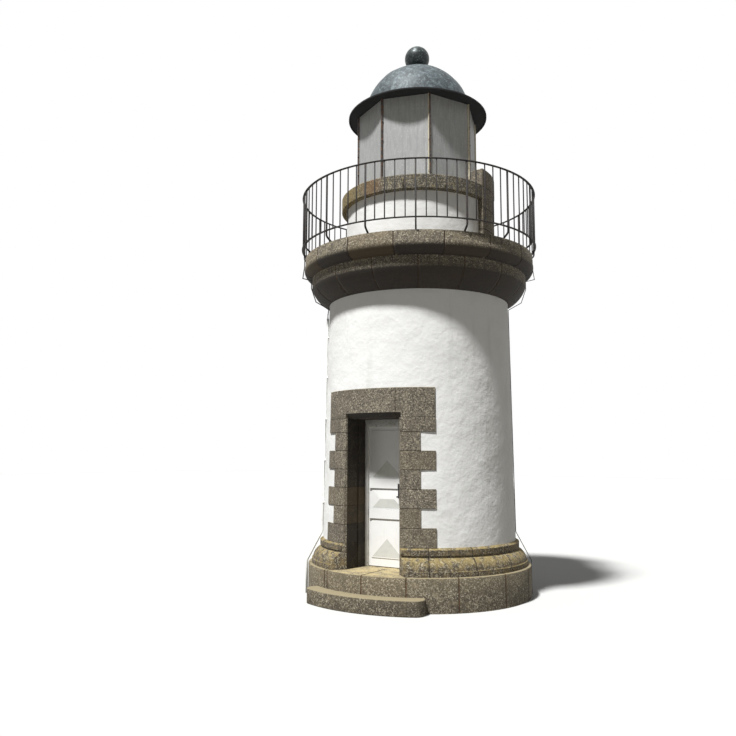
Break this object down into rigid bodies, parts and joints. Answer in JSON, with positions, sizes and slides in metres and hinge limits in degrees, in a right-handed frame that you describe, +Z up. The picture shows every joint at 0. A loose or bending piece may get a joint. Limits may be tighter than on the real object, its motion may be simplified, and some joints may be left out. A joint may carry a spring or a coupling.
{
  "type": "lighthouse",
  "caption": "Round stone lighthouse with a hinged entrance door, a railed gallery and an octagonal lantern under a dome with a ball finial.",
  "frame": {"origin": "on the tower's axis at ground level, on the underside of the plinth", "axes": "+Z up, -Y out through the entrance door, +X to the right of someone who looks at the entrance"},
  "size_m": [3.4678, 3.5137, 8.203],
  "materials": {
    "granite": "rough speckled granite",
    "lime_render": "trowelled white lime render",
    "floor_stone": "plain stone",
    "white_paint_on_wood": "white gloss paint",
    "grey_paint_on_wood": "pale grey paint",
    "black_iron": "black paint",
    "railing_iron": "black paint with rust",
    "lantern_panel_paint": "pale grey paint",
    "dark_lantern_iron": "dark paint",
    "weathered_dome_metal": "mottled patina",
    "dark_finial_metal": "dark patina",
    "white_conduit": "white paint",
    "dark_cable": "dull dark"
  },
  "bodies": {
    "tower": {"base_moulding_back": "granite", "base_moulding_left": "granite", "base_moulding_right": "granite", "brim": "dark_lantern_iron", "conduit": "white_conduit", "coping_back": "granite", "coping_front": "granite", "coping_left": "granite", "cornice_back": "granite", "cornice_front": "granite", "dome": "weathered_dome_metal", "dome_collar": "dark_finial_metal", "door_frame": "white_paint_on_wood", "door_hinge_pins": "black_iron", "door_jamb_left": "granite", "door_jamb_right": "granite", "door_lintel": "granite", "drum_wall_back": "lime_render", "drum_wall_front": "lime_render", "drum_wall_left": "lime_render", "entrance_step": "granite", "finial_ball": "dark_finial_metal", "gallery_course_back": "granite", "gallery_course_front": "granite", "gallery_door": "grey_paint_on_wood", "gallery_jamb_back": "granite", "gallery_jamb_front": "granite", "gallery_lintel": "granite", "lantern_bars": "dark_lantern_iron", "lantern_curb": "granite", "lantern_frieze": "dark_lantern_iron", "lantern_panels": "lantern_panel_paint", "lantern_sill": "dark_lantern_iron", "lightning_conductor": "dark_cable", "plinth": "granite", "railing_back": "railing_iron", "railing_front": "railing_iron", "railing_left": "railing_iron", "railing_right": "railing_iron", "service_cable": "dark_cable", "shaft_wall_back": "lime_render", "shaft_wall_left": "lime_render", "shaft_wall_over_door": "lime_render", "shaft_wall_right": "lime_render", "upper_floor": "floor_stone"},
    "door": {"door_leaf": "white_paint_on_wood", "door_handle": "black_iron", "door_hinge_straps": "black_iron"}
  },
  "joints": [
    {"name": "door_swing", "type": "hinge", "parent": "tower", "child": "door", "pos_m": [-0.3385, -0.766, 0], "axis": [0, 0, 1], "range_deg": [0, 95]}
  ]
}
